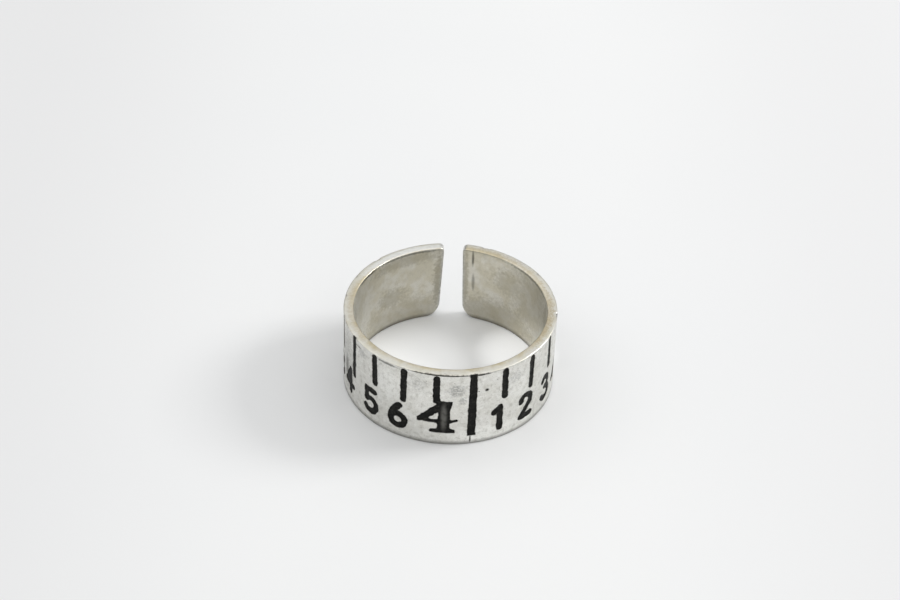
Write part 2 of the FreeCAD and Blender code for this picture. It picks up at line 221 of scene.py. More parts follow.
# How far each figure stands before its line, and how high.
NUMERAL_LEAD = 3.23
NUMERAL_FOOT = 1.40
NUMERAL_TICK_LEAD = 0.07
FIGURE_LEAD = 0.55
HALF_FIGURE_LEAD = 1.05
FIGURE_FOOT = 0.95


def make_marks():
    """Every recess as (shapes, [(CAD node, clips that cut out this node's filling), ...])."""
    recesses = []
    for count in range(FIRST_COUNT, LAST_COUNT + 1):
        inch, eighth = 4 + count // 8, count % 8
        x = (INCH_LINE + count * EIGHTH) * DEGREE
        if eighth == 0:
            line = run(INCH_CUT) + clip(INCH_FOOT, LINE_HEAD)
            recesses.append((shift(line, x, 0), [(f"enamel_inch_line_{inch}", [])]))
        elif eighth == 4:
            line = run(HALF_INCH_CUT) + clip(HALF_INCH_FOOT, LINE_HEAD)
            recesses.append((shift(line, x, 0), [(f"enamel_half_inch_line_{inch}_4_8", [])]))
        elif eighth == 7:
            next_line = x + EIGHTH * DEGREE
            shapes = shift(large_numeral(inch + 1), next_line - NUMERAL_LEAD, NUMERAL_FOOT)
            shapes += shift(tick(count), x - NUMERAL_TICK_LEAD, 0)
            numeral = (f"enamel_inch_numeral_{inch + 1}", clip(0.0, NUMERAL_HEAD))
            above = (f"enamel_tick_{inch}_{eighth}_8", clip(NUMERAL_HEAD, LINE_OVER))
            recesses.append((shapes, [numeral, above]))
        else:
            recesses.append((shift(tick(count), x, 0), [(f"enamel_tick_{inch}_{eighth}_8", [])]))
        if 1 <= eighth <= 6 and count > FIRST_COUNT:
            lead = HALF_FIGURE_LEAD if eighth == 4 else FIGURE_LEAD
            figure = shift(small_figure(eighth), x - lead, FIGURE_FOOT)
            recesses.append((figure, [(f"enamel_figure_{inch}_{eighth}_8", [])]))
    return recesses


# ---------------------------------------------------------------- distance to a mark's edge
def run_distance(points, x, y):
    best = np.full(x.shape, FAR)
    for (ax, ay, a_half), (bx, by, b_half) in zip(points, points[1:]):
        ux, uy = bx - ax, by - ay
        t = np.clip(((x - ax) * ux + (y - ay) * uy) / (ux * ux + uy * uy), 0, 1)
        half = a_half + (b_half - a_half) * t
        best = np.minimum(best, np.hypot(x - ax - t * ux, y - ay - t * uy) - half)
    return best


def bowl_distance(centre, radius, start, end, half, x, y):
    cx, cy = centre
    middle = (start + end) / 2
    reach = (end - start) / 2
    off = (np.degrees(np.arctan2(y - cy, x - cx)) - middle + 180) % 360 - 180
    held = np.radians(middle + np.clip(off, -reach, reach))
    return np.hypot(x - cx - radius * np.cos(held), y - cy - radius * np.sin(held)) - half


def plate_distance(points, corner, x, y):
    best = np.full(x.shape, FAR)
    inside = np.zeros(x.shape, bool)
    for (ax, ay), (bx, by) in zip(points, points[1:] + points[:1]):
        ux, uy = bx - ax, by - ay
        t = np.clip(((x - ax) * ux + (y - ay) * uy) / (ux * ux + uy * uy), 0, 1)
        best = np.minimum(best, np.hypot(x - ax - t * ux, y - ay - t * uy))
        if ay != by:
            crosses = (y < ay) != (y < by)
            at = ax + (y - ay) / (by - ay) * (bx - ax)
            inside ^= crosses & (x < at)
    return np.where(inside, -best, best) - corner


FILLET = 0.13
DISTANCES = {"run": run_distance, "bowl": bowl_distance, "plate": plate_distance}


def distance(shapes, x, y):
    """Signed distance to the edge of a mark, negative inside, with the inner corners filled."""
    best = np.full(x.shape, FAR)
    for kind, *shape in shapes:
        if kind in DISTANCES:
            d = DISTANCES[kind](*shape, x, y)
            t = np.clip(0.5 + 0.5 * (best - d) / FILLET, 0, 1)
            best = best + (d - best) * t - FILLET * t * (1 - t)
    return best


def cut(d, clips, y):
    """Applies the square cuts to a field of distances."""
    for kind, *shape in clips:
        if kind == "clip":
            foot, head = shape
            d = np.maximum(d, np.maximum(foot - y, y - head))
    return d


# Small errors of hand work: (size, ripples per millimetre or per radian, seed).
COARSE_EDGE = (0.075, 2.1, 4.2)
FINE_EDGE = (0.045, 5.7, 8.8)
SWAY = (0.030, 2.2, 1.3)  # of the band's roundness
DENT = (0.016, 0.55, 5.5)
LIFT = (0.028, 1.9, 7.7)  # of the upper edge


def ripple(error, x, y):
    size, scale, seed = error
    return size * noise.noise(Vector((x * scale, y * scale, seed)))


EDGE_REACH = 0.5  # edges are only needed this close to a mark


def recess_distance(shapes, x, y):
    """Distance to the edge of a recess as it was really cut."""
    d = cut(distance(shapes, x, y), shapes, y)
    near = np.abs(d) < EDGE_REACH
    spots = list(zip(x[near], y[near]))
    d[near] += [ripple(COARSE_EDGE, *spot) + ripple(FINE_EDGE, *spot) for spot in spots]
    return d


def bounds_of(shapes):
    """Lowest and highest x, then lowest and highest y."""
    xs, ys = [], []
    for kind, *shape in shapes:
        if kind == "run":
            for x, y, half in shape[0]:
                xs += [x - half, x + half]
                ys += [y - half, y + half]
        elif kind == "bowl":
            (x, y), radius, _, _, half = shape
            xs += [x - radius - half, x + radius + half]
            ys += [y - radius - half, y + radius + half]
        elif kind == "plate":
            xs += [p[0] for p in shape[0]]
            ys += [p[1] for p in shape[0]]
    return min(xs), max(xs), min(ys), max(ys)


FIELD_PAD = 0.30


class Field:
    """Distances to a recess's edge, sampled on an even grid round it."""

    def __init__(self, shapes):
        low_x, high_x, low_y, high_y = bounds_of(shapes)
        self.xs = np.arange(low_x - FIELD_PAD, high_x + FIELD_PAD, FIELD_STEP)
        self.ys = np.arange(low_y - FIELD_PAD, high_y + FIELD_PAD, FIELD_STEP)
        self.grid = np.meshgrid(self.xs, self.ys)
        self.values = recess_distance(shapes, *self.grid)

    def clipped(self, clips):
        """The same field with square cuts made in it."""
        part = Field.__new__(Field)
        part.xs, part.ys, part.grid = self.xs, self.ys, self.grid
        part.values = cut(self.values.copy(), clips, self.grid[1])
        return part

    def at(self, x, y):
        """Distances at any points, by interpolation; far outside the grid they are large."""
        column = (x - self.xs[0]) / FIELD_STEP
        row = (y - self.ys[0]) / FIELD_STEP
        i = np.clip(np.floor(row).astype(int), 0, len(self.ys) - 2)
        j = np.clip(np.floor(column).astype(int), 0, len(self.xs) - 2)
        s, t = row - i, column - j
        low = self.values[i, j] * (1 - t) + self.values[i, j + 1] * t
        high = self.values[i + 1, j] * (1 - t) + self.values[i + 1, j + 1] * t
        beyond = (s < -0.01) | (s > 1.01) | (t < -0.01) | (t > 1.01)
        return np.where(beyond, FAR, low * (1 - s) + high * s)

    def outlines(self, level):
        """Closed outlines at a level, as even points."""
        return [even_points(loop) for loop in contours(self.values - level, self.xs[0], self.ys[0])]


SMALLEST_LOOP = 8  # shorter outlines are specks left by the noise
FEWEST_POINTS = 10


def contours(f, x0, y0):
    """Closed outlines of a sampled field at zero, by marching squares."""
    crossing = {}
    links = {}

    def edge_point(kind, i, j):
        key = (kind, i, j)
        if key not in crossing:
            a = f[i, j]
            b = f[i, j + 1] if kind == "h" else f[i + 1, j]
            t = a / (a - b)
            if kind == "h":
                crossing[key] = (x0 + (j + t) * FIELD_STEP, y0 + i * FIELD_STEP)
            else:
                crossing[key] = (x0 + j * FIELD_STEP, y0 + (i + t) * FIELD_STEP)
        return key

    inside = f < 0
    mixed = inside[:-1, :-1].astype(int) + inside[1:, :-1] + inside[:-1, 1:] + inside[1:, 1:]
    for i, j in zip(*np.nonzero((mixed > 0) & (mixed < 4))):
        points = []
        if inside[i, j] != inside[i, j + 1]:
            points.append(edge_point("h", i, j))
        if inside[i, j + 1] != inside[i + 1, j + 1]:
            points.append(edge_point("v", i, j + 1))
        if inside[i + 1, j] != inside[i + 1, j + 1]:
            points.append(edge_point("h", i + 1, j))
        if inside[i, j] != inside[i + 1, j]:
            points.append(edge_point("v", i, j))
        for a, b in zip(points[::2], points[1::2]):
            links.setdefault(a, []).append(b)
            links.setdefault(b, []).append(a)
    loops = []
    left = dict.fromkeys(links)
    while left:
        here = next(iter(left))
        del left[here]
        loop = [here]
        while True:
            ahead = [k for k in links[here] if k in left]
            if not ahead:
                break
            here = ahead[0]
            del left[here]
            loop.append(here)
        if len(loop) > SMALLEST_LOOP:
            loops.append(np.array([crossing[k] for k in loop]))
    return loops


def even_points(loop):
    """Points at even steps round a closed loop."""
    closed = np.vstack([loop, loop[:1]])
    length = np.concatenate([[0], np.cumsum(np.hypot(*np.diff(closed, axis=0).T))])
    count = max(FEWEST_POINTS, round(length[-1] / OUTLINE_STEP))
    at = np.arange(count) * length[-1] / count
    return np.column_stack([np.interp(at, length, closed[:, k]) for k in (0, 1)])


# ---------------------------------------------------------------- the strip's surface
# Stations run round the strip's section: half the underside, up the outer face, over the rim, down
# the inside and back along the underside.
OUTER_FLAT = WIDTH - 2 * EDGE
RIM_FLAT = THICK - 2 * EDGE
STATIONS = np.cumsum([
    0.0,
    RIM_FLAT / 2,
    CORNER_ARC,
    OUTER_FLAT,
    CORNER_ARC,
    RIM_FLAT,
    CORNER_ARC,
    OUTER_FLAT,
    CORNER_ARC,
    RIM_FLAT / 2,
])
PATCH_LOW = 0.0
PATCH_HIGH = STATIONS[4] + RIM_FLAT * 0.5


def stations_of(heights):
    """Stations of heights on the outer face, running on over the rounded upper edge."""
    low, high = EDGE, WIDTH - EDGE
    on_face = STATIONS[2] + (heights - low)
    over = STATIONS[3] + (heights - high) * CORNER_ARC / EDGE
    return np.where(heights <= high, on_face, over)


def heights_of(stations):
    """The other way round."""
    on_face = EDGE + (stations - STATIONS[2])
    over = WIDTH - EDGE + (stations - STATIONS[3]) * EDGE / CORNER_ARC
    return np.where(stations <= STATIONS[3], on_face, over)


def rounding(radius, x):
    """Inset of a rounded corner at a length x from where it starts."""
    return radius - math.sqrt(max(0.0, radius**2 - max(0.0, radius - x) ** 2))


def end_shape(x):
    """Insets of the section at a length x from the free end: below, above, outside, inside."""
    if x >= END_ZONE:
        return 0.0, 0.0, 0.0, 0.0
    soft = rounding(EDGE, x)
    bevel = INNER_BEVEL_DEPTH * max(0.0, 1 - x / INNER_BEVEL_RUN) ** 2
    return rounding(LOWER_CORNER, x), rounding(UPPER_CORNER, x), soft, soft + bevel


SOFT_SHARE = 0.45  # a rounded edge takes at most this share of a thinned side


def section_point(station, low, high, out_inset, in_inset):
    """Point and normal of the section at a station, as (depth below the outer face, height)."""
    height = WIDTH - low - high
    thick = THICK - out_inset - in_inset
    soft = min(EDGE, thick * SOFT_SHARE, height * SOFT_SHARE)
    pieces = [
        ("run", (thick / 2, 0.0), (soft, 0.0), (0, -1)),
        ("turn", (soft, soft), 270, 180),
        ("run", (0.0, soft), (0.0, height - soft), (-1, 0)),
        ("turn", (soft, height - soft), 180, 90),
        ("run", (soft, height), (thick - soft, height), (0, 1)),
        ("turn", (thick - soft, height - soft), 90, 0),
        ("run", (thick, height - soft), (thick, soft), (1, 0)),
        ("turn", (thick - soft, soft), 0, -90),
        ("run", (thick - soft, 0.0), (thick / 2, 0.0), (0, -1)),
    ]
    index = int(np.clip(np.searchsorted(STATIONS, station, side="right") - 1, 0, len(pieces) - 1))
    t = (station - STATIONS[index]) / (STATIONS[index + 1] - STATIONS[index])
    kind, *shape = pieces[index]
    if kind == "run":
        (ax, ay), (bx, by), normal = shape
        x, y = ax + (bx - ax) * t, ay + (by - ay) * t
    else:
        (cx, cy), start, end = shape
        angle = math.radians(start + (end - start) * t)
        normal = (math.cos(angle), math.sin(angle))
        x, y = cx + soft * normal[0], cy + soft * normal[1]
    return x + out_inset, y + low, normal


def surface(x, station, height):
    """A point of the strip, and where it lies on the flat strip before bending.

    x is the length along the outer face and height is off the metal. The flat position is
    (length, height, depth) and the materials are laid out by it.
    """
    from_left = x - LEFT_END * DEGREE
    from_right = RIGHT_END * DEGREE - x
    from_end = min(from_right, from_left)
    low, high, out_inset, in_inset = end_shape(max(0.0, from_end))
    depth, up, normal = section_point(station, low, high, out_inset, in_inset)
    depth += height * normal[0]
    up += height * normal[1]
    slant = RIGHT_END_SLANT * max(0.0, 1 - from_right / SLANT_REACH)
    slant -= LEFT_END_SLANT * max(0.0, 1 - from_left / SLANT_REACH)
    angle = math.radians((x + slant * (up / WIDTH - 0.5)) / DEGREE)
    sway = ripple(SWAY, math.sin(angle), math.cos(angle))
    dent = ripple(DENT, x, up)
    lift = ripple(LIFT, math.sin(angle), math.cos(angle)) * up / WIDTH
    radius = OUTER - depth + dent + sway
    point = Vector((radius * math.sin(angle), -radius * math.cos(angle), up + lift))
    return point, Vector((x, up, depth))


# Distances of the grid's columns from a free end, until they are evenly spaced.
END_STEPS = [0.0, 0.012, 0.03, 0.06, 0.10, 0.15, 0.22, 0.30, 0.42, 0.56, 0.72, 0.90, 1.10, 1.32, END_ZONE]
CORNER_ROWS = 5
LIP_MARGIN = 0.05  # grid points keep this far from a recess's lip


def u_samples():
    """Lengths along the face, closer together towards the free ends."""
    left, right = LEFT_END * DEGREE, RIGHT_END * DEGREE
    stops = [left + END_ZONE, LEFT_SPLIT * DEGREE, RIGHT_SPLIT * DEGREE, right - END_ZONE]
    spots = [left + step for step in END_STEPS[:-1]]
    for a, b in zip(stops, stops[1:]):
        count = math.ceil((b - a) / GRID_U)
        spots += [a + (b - a) * k / count for k in range(count)]
    spots += [right - step for step in reversed(END_STEPS)]
    return spots


def v_samples(low, high):
    """Stations between two limits, with the section's own corners among them."""
    spots = []
    for index, (a, b) in enumerate(zip(STATIONS, STATIONS[1:])):
        count = CORNER_ROWS if index % 2 else max(1, math.ceil((b - a) / GRID_V))
        spots += [a + (b - a) * k / count for k in range(count)]
    spots.append(STATIONS[-1])
    spots = [s for s in spots if low + 1e-6 < s < high - 1e-6]
    return [low] + spots + [high]


def kept_edges(index, us):
    """Grid edges that the triangles must keep: the patch's border and the splits."""
    edges = []
    for row in (0, index.shape[1] - 1):
        edges += list(zip(index[:-1, row], index[1:, row]))
    splits = [int(np.argmin(np.abs(np.array(us) - split * DEGREE))) for split in (LEFT_SPLIT, RIGHT_SPLIT)]
    for column in (0, index.shape[0] - 1, *splits):
        edges += list(zip(index[column, :-1], index[column, 1:]))
    return edges


def add_loop(points, drops, edges, loop, below):
    """Adds a closed outline, which the triangles must keep, at a drop below the face."""
    first = len(points)
    points += [Vector(p) for p in loop]
    drops += [below] * len(loop)
    edges += [(first + k, first + (k + 1) % len(loop)) for k in range(len(loop))]


def outer_patch(fields):
    """Triangulated outer face with every recess cut in: [(point, flat position), ...], triangles."""
    us = u_samples()
    vs = v_samples(PATCH_LOW, PATCH_HIGH)
    grid = np.array([(u, v) for u in us for v in vs])
    rows = np.tile(np.arange(len(vs)), len(us))
    border = (rows == 0) | (rows == len(vs) - 1)
    keep = np.ones(len(grid), bool)
    drop = np.zeros(len(grid))
    loops = []
    for field in fields:
        d = field.at(grid[:, 0], heights_of(grid[:, 1]))
        deep = d <= LIP[-1][0] - LIP_MARGIN
        keep &= border | (d >= LIP[0][0] + LIP_MARGIN) | deep
        drop[deep] = LIP[-1][1]
        for level, below in LIP:
            for loop in field.outlines(level):
                loops.append((np.column_stack([loop[:, 0], stations_of(loop[:, 1])]), below))
    number = -np.ones(len(grid), int)
    number[keep] = np.arange(keep.sum())
    points = [Vector(p) for p in grid[keep]]
    drops = list(drop[keep])
    edges = kept_edges(number.reshape(len(us), len(vs)), us)
    for loop, below in loops:
        add_loop(points, drops, edges, loop, below)
    edges = [(int(a), int(b)) for a, b in edges]
    verts, _, faces, origins, _, _ = delaunay_2d_cdt(points, edges, [], 0, CUT_TOLERANCE, True)
    placed = []
    for spot, source in zip(verts, origins):
        placed.append(surface(*spot, drops[source[0]] if source else 0.0))
    shapes = []
    for face in faces:
        middle = sum((verts[k] for k in face), Vector((0, 0))) / len(face)
        if us[0] < middle.x < us[-1] and vs[0] < middle.y < vs[-1]:
            shapes.append(tuple(face))
    return placed, shapes


def inner_patch():
    """The rest of the rim, the inside wall and the underside, as a plain grid."""
    us = u_samples()
    vs = v_samples(PATCH_HIGH, STATIONS[-1])
    placed = [surface(u, v, 0.0) for u in us for v in vs]
    quads = []
    for i in range(len(us) - 1):
        for j in range(len(vs) - 1):
            a = i * len(vs) + j
            quads.append((a, a + len(vs), a + len(vs) + 1, a + 1))
    return placed, quads


def end_caps():
    """The two free ends, each filled with triangles across the strip's thickness."""
    us = u_samples()
    vs = v_samples(PATCH_LOW, PATCH_HIGH)[:-1] + v_samples(PATCH_HIGH, STATIONS[-1])[:-1]
    placed, polygons = [], []
    for u in (us[0], us[-1]):
        first = len(placed)
        placed += [surface(u, v, 0.0) for v in vs]
        polygons.append(tuple(range(first, first + len(vs))))
    return placed, polygons


def mesh_object(name, points, faces, flat=None):
    """A mesh in metres, with each point's flat position kept as an attribute."""
    mesh = bpy.data.meshes.new(name)
    mesh.from_pydata([p / 1000 for p in points], [], faces)
    if flat:
        layer = mesh.attributes.new("flat", "FLOAT_VECTOR", "POINT")
        layer.data.foreach_set("vector", [c for p in flat for c in p])
    obj = bpy.data.objects.new(name, mesh)
    bpy.context.scene.collection.objects.link(obj)
    return obj


def build_band(fields, material):
    """The silver strip as three pieces that share their border points and normals."""
    placed, faces = [], []
    for points, shapes in (outer_patch(fields), inner_patch(), end_caps()):
        first = len(placed)
        placed += points
        faces += [tuple(first + k for k in shape) for shape in shapes]
    whole = mesh_object("band_whole", [p for p, _ in placed], faces, [f for _, f in placed])
    bm = bmesh.new()
    bm.from_mesh(whole.data)
    flat = bm.verts.layers.float_vector["flat"]
    bmesh.ops.remove_doubles(bm, verts=bm.verts, dist=WELD)
    bmesh.ops.triangulate(bm, faces=[f for f in bm.faces if len(f.verts) > 4])
    bmesh.ops.recalc_face_normals(bm, faces=bm.faces)
    bm.normal_update()
    bm.verts.index_update()
    bm.verts.ensure_lookup_table()
    cuts = [-math.inf, LEFT_SPLIT * DEGREE, RIGHT_SPLIT * DEGREE, math.inf]
    names = ["band_left_arm_metal", "band_front_metal", "band_right_arm_metal"]
    pieces = {}
    for name, low, high in zip(names, cuts, cuts[1:]):
        mine = [f for f in bm.faces if low < sum(v[flat].x for v in f.verts) / len(f.verts) < high]
        used = sorted({v.index for f in mine for v in f.verts})
        number = {k: n for n, k in enumerate(used)}
        obj = mesh_object(
            name,
            [bm.verts[k].co * 1000 for k in used],
            [tuple(number[v.index] for v in f.verts) for f in mine],
            [bm.verts[k][flat].copy() for k in used],
        )
        obj.data.shade_smooth()
        obj.data.normals_split_custom_set_from_vertices([bm.verts[k].normal.copy() for k in used])
        obj.data.materials.append(material)
        pieces[name] = obj
    bm.free()
    bpy.data.objects.remove(whole)
    return pieces


# ---------------------------------------------------------------- black enamel
ENAMEL_STRIDE = 7  # field steps between the points inside a filling's top
ENAMEL_MARGIN = 0.05


def enamel_top(field):
    """A filling's slightly hollow top on the unrolled face: [(spot, drop), ...], triangles."""
    points, drops, edges = [], [], []
    for level, below in ENAMEL_TOP:
        for loop in field.outlines(level):
            add_loop(points, drops, edges, loop, below)
    sparse = (slice(None, None, ENAMEL_STRIDE), slice(None, None, ENAMEL_STRIDE))
    grid_x, grid_y = (g[sparse] for g in field.grid)
    deep = field.values[sparse] < ENAMEL_TOP[-1][0] - ENAMEL_MARGIN
    for x, y in zip(grid_x[deep], grid_y[deep]):
        points.append(Vector((x, y)))
        drops.append(ENAMEL_TOP[-1][1])
    verts, _, faces, origins, _, _ = delaunay_2d_cdt(points, edges, [], 0, CUT_TOLERANCE, True)
    middles = np.array([sum((verts[k] for k in f), Vector((0, 0))) / len(f) for f in faces])
    inside = field.at(middles[:, 0], middles[:, 1]) < ENAMEL_TOP[0][0]
    kept = [tuple(f) for f, good in zip(faces, inside) if good]
    deepest = ENAMEL_TOP[-1][1]
    return [(spot, drops[source[0]] if source else deepest) for spot, source in zip(verts, origins)], kept


def build_enamel(name, field, material):
    """One filling: a closed piece from its top down to the floor of the recess."""
    spots, kept = enamel_top(field)
    top, floor = [], []
    for spot, drop in spots:
        station = float(stations_of(np.array(spot.y)))
        top.append(surface(spot.x, station, drop))
        floor.append(surface(spot.x, station, ENAMEL_FLOOR))
    count = len(top)
    under = [tuple(count + k for k in reversed(f)) for f in kept]
    directed = {(a, b) for f in kept for a, b in zip(f, f[1:] + f[:1])}
    sides = [(b, a, count + a, count + b) for a, b in sorted(directed) if (b, a) not in directed]
    placed = top + floor
    obj = mesh_object(name, [p for p, _ in placed], kept + under + sides, [f for _, f in placed])
    bm = bmesh.new()
    bm.from_mesh(obj.data)
    bmesh.ops.delete(bm, geom=[v for v in bm.verts if not v.link_faces], context="VERTS")
    bmesh.ops.recalc_face_normals(bm, faces=bm.faces)
    bm.to_mesh(obj.data)
    bm.free()
    obj.data.shade_smooth()
    obj.data.materials.append(material)
    return obj


# ---------------------------------------------------------------- materials
class Graph:
    """Short ways to add shader nodes to one material."""

    def __init__(self, name):
        self.material = bpy.data.materials.new(name)
        self.material.use_nodes = True
        self.tree = self.material.node_tree
        self.shader = self.tree.nodes["Principled BSDF"]

    def node(self, kind, **settings):
        made = self.tree.nodes.new(kind)
        for key, value in settings.items():
            setattr(made, key, value)
        return made

    def feed(self, socket, value):
        """Links a socket to another, or sets its number."""
        if isinstance(value, bpy.types.NodeSocket):
            self.tree.links.new(value, socket)
        else:
            socket.default_value = value

    def math(self, operation, a, b=0.0, clamp=False):
        made = self.node("ShaderNodeMath", operation=operation, use_clamp=clamp)
        self.feed(made.inputs[0], a)
        self.feed(made.inputs[1], b)
        return made.outputs[0]

    def vector(self, operation, a, b=(0, 0, 0)):
        made = self.node("ShaderNodeVectorMath", operation=operation)
        self.feed(made.inputs[0], a)
        self.feed(made.inputs[1], b)
        return made.outputs["Value" if operation == "LENGTH" else "Vector"]

    def ramp(self, value, low, high, start=0.0, end=1.0):
        """A smooth step from start to end as value goes from low to high."""
        made = self.node("ShaderNodeMapRange", interpolation_type="SMOOTHSTEP")
        for socket, number in zip(made.inputs, (value, low, high, start, end)):
            self.feed(socket, number)
        return made.outputs[0]

    def noise(self, place, scale, detail=3.0, roughness=0.55):
        made = self.node("ShaderNodeTexNoise")
        self.feed(made.inputs["Vector"], place)
        made.inputs["Scale"].default_value = scale
        made.inputs["Detail"].default_value = detail
        made.inputs["Roughness"].default_value = roughness
        return made.outputs["Fac"]

    def dots(self, place, scale, radius):
        """Scattered round dots, 1 at their middles."""
        made = self.node("ShaderNodeTexVoronoi")
        self.feed(made.inputs["Vector"], place)
        made.inputs["Scale"].default_value = scale
        return self.ramp(made.outputs["Distance"], radius, 0.0)

    def mix(self, amount, a, b):
        made = self.node("ShaderNodeMix", data_type="RGBA")
        for name, value in (("Factor_Float", amount), ("A_Color", a), ("B_Color", b)):
            self.feed(next(s for s in made.inputs if s.identifier == name), value)
        return next(s for s in made.outputs if s.identifier == "Result_Color")

    def bump(self, height, strength, distance):
        made = self.node("ShaderNodeBump")
        made.inputs["Strength"].default_value = strength
        made.inputs["Distance"].default_value = distance
        self.feed(made.inputs["Height"], height)
        self.feed(self.shader.inputs["Normal"], made.outputs["Normal"])

    def flat(self):
        """Position on the flat strip, in millimetres."""
        return self.node("ShaderNodeAttribute", attribute_name="flat").outputs["Vector"]


# Listed spots of wear, stains, painted highlight and painted shade: (bearing, height, depth, half-length
# along the strip, half-height, strength).
OUTSIDE = 0.0
MIDDLE = THICK * 0.62
INSIDE = THICK
# Scars, and painted shade lines: the spots at heights of 7.95 and above lie along the rounded upper edges,
# outside and inside, and paint shade there.
SCARS_AND_EDGE_SHADE = [
    (-3.0, 8.13, OUTSIDE, 4.3, 0.085, 0.95),
    (17.0, 8.08, OUTSIDE, 1.6, 0.13, 0.95),
    (-33.0, 7.95, OUTSIDE, 1.60, 0.16, 0.60),
    (-56.0, 7.60, OUTSIDE, 0.60, 0.12, 0.55),
    (-70.0, 3.60, OUTSIDE, 0.55, 1.60, 0.55),
    (-152.0, 8.02, INSIDE, 5.20, 0.16, 0.45),
    (-118.0, 8.02, INSIDE, 2.60, 0.18, 0.65),
    (120.0, 8.00, INSIDE, 5.50, 0.16, 0.40),
]
PITS = [
    (21.0, 6.20, OUTSIDE, 0.26, 0.22, 1.00),
    (16.6, 6.15, OUTSIDE, 0.09, 0.09, 0.80),
    (12.9, 0.55, OUTSIDE, 0.10, 0.66, 0.95),
    (26.5, 7.10, OUTSIDE, 0.06, 0.06, 0.60),
    (-11.0, 7.30, OUTSIDE, 0.06, 0.05, 0.55),
    (3.6, 7.30, OUTSIDE, 0.07, 0.05, 0.60),
    (8.4, 6.90, OUTSIDE, 0.05, 0.07, 0.60),
    (-30.0, 3.10, OUTSIDE, 0.05, 0.06, 0.50),
    (55.0, 1.90, OUTSIDE, 0.07, 0.05, 0.60),
    (93.0, 1.40, OUTSIDE, 0.07, 0.06, 0.70),
    (128.0, 6.90, OUTSIDE, 0.09, 0.06, 0.75),
    (168.0, 2.60, OUTSIDE, 0.06, 0.08, 0.65),
    (-101.0, 6.20, OUTSIDE, 0.08, 0.06, 0.75),
    (-140.0, 1.30, OUTSIDE, 0.06, 0.07, 0.65),
    (-169.0, 5.20, OUTSIDE, 0.10, 0.07, 0.70),
    (167.0, 7.30, INSIDE, 0.17, 1.20, 0.60),
    (166.6, 4.40, INSIDE, 0.24, 1.30, 0.42),
    (-95.0, 4.90, INSIDE, 0.16, 1.90, 0.35),
]
STAINS_AND_SHADE = [
    (4.8, 6.40, OUTSIDE, 1.00, 0.95, 0.75),
    (8.0, 5.20, OUTSIDE, 0.50, 0.60, 0.55),
    (-15.5, 6.90, OUTSIDE, 1.00, 1.20, 0.35),
    (38.0, 6.60, OUTSIDE, 1.10, 0.90, 0.45),
    (-52.0, 7.20, OUTSIDE, 0.90, 0.60, 0.55),
    (-70.0, 4.50, OUTSIDE, 2.10, 5.00, 0.55),
    (107.0, 6.80, OUTSIDE, 1.00, 0.90, 0.50),
    (168.0, 6.20, OUTSIDE, 1.10, 1.40, 0.40),
    (-128.0, 6.40, OUTSIDE, 1.10, 1.00, 0.50),
    (-170.0, 2.40, OUTSIDE, 1.20, 1.20, 0.35),
    (172.4, 4.20, INSIDE, 0.70, 5.20, 0.55),
    (-172.2, 4.20, INSIDE, 0.90, 5.20, 0.60),
    (-150.0, 7.40, INSIDE, 6.00, 0.90, 0.45),
    (-140.0, 3.40, INSIDE, 2.60, 1.60, 0.45),
    (142.0, 5.60, INSIDE, 3.00, 2.00, 0.40),
    (98.0, 5.20, INSIDE, 1.60, 3.60, 0.60),
    (-97.0, 4.80, INSIDE, 0.80, 2.60, 0.40),
    # Painted shade: the next two darken the lower inner wall towards the paper.
    (-150.0, 1.20, INSIDE, 9.00, 2.60, 0.30),
    (150.0, 1.20, INSIDE, 9.00, 2.60, 0.42),
    (118.0, 5.00, INSIDE, 5.50, 5.20, 0.35),
    (84.0, 8.20, MIDDLE, 6.50, 0.30, 0.80),
    (-96.0, 8.20, MIDDLE, 4.00, 0.30, 0.30),
    (-70.0, 8.20, MIDDLE, 6.00, 0.30, 0.30),
    (148.0, 8.20, MIDDLE, 8.00, 0.30, 0.40),
]
# Painted highlights: lighter patches on the face and rim, standing in for reflected light.
HIGHLIGHT_SPOTS = [
    (-33.0, 5.60, OUTSIDE, 1.60, 2.60, 0.70),
    (25.0, 0.90, OUTSIDE, 5.50, 1.50, 0.90),
    (40.0, 5.60, OUTSIDE, 1.60, 2.60, 0.45),
    (-150.0, 8.20, MIDDLE, 9.00, 0.60, 0.90),
    (100.0, 4.00, OUTSIDE, 3.00, 2.40, 0.45),
    (-120.0, 2.00, OUTSIDE, 5.00, 1.80, 0.45),
    (150.0, 6.60, OUTSIDE, 2.60, 1.40, 0.40),
]


def spot_strength(graph, place, spots, raggedness):
    """How strongly each point lies in any of the listed spots, with ragged borders."""
    noise_off = graph.math("SUBTRACT", graph.noise(place, 3.1, 5.0, 0.65), 0.5)
    ragged = graph.math("MULTIPLY", noise_off, raggedness)
    total = 0.0
    for bearing, height, depth, run_half, rise_half, strength in spots:
        off = graph.vector("SUBTRACT", place, (bearing * DEGREE, height, depth))
        scaled = graph.vector("DIVIDE", off, (run_half, rise_half, 0.45))
        away = graph.math("ADD", graph.vector("LENGTH", scaled), ragged)
        total = graph.math("MAXIMUM", total, graph.ramp(away, 1.0, 0.35, 0.0, strength))
    return total


FACE_SILVER = (0.75, 0.742, 0.698, 1)
PALE_SILVER = (0.84, 0.835, 0.81, 1)
RUBBED_AND_HIGHLIGHT_SILVER = (0.94, 0.94, 0.905, 1)
RIM_PALE = (0.775, 0.745, 0.645, 1)
RIM_TAN = (0.68, 0.605, 0.43, 1)
SHADED_WALL_OLIVE = (0.672, 0.636, 0.530, 1)
SHADED_WALL_GREY = (0.725, 0.714, 0.652, 1)
WALL_GREY_FROM_TO = (22.0, 15.0)  # lengths along the strip between which the wall turns grey
BLOTCH = (0.40, 0.385, 0.335, 1)
SPECKLE = (0.26, 0.25, 0.21, 1)
FACE_STAIN = (0.30, 0.30, 0.29, 1)
WALL_STAIN_AND_SHADE = (0.33, 0.30, 0.215, 1)
RIM_STAIN = (0.55, 0.46, 0.30, 1)
BLACKENED = (0.045, 0.042, 0.034, 1)


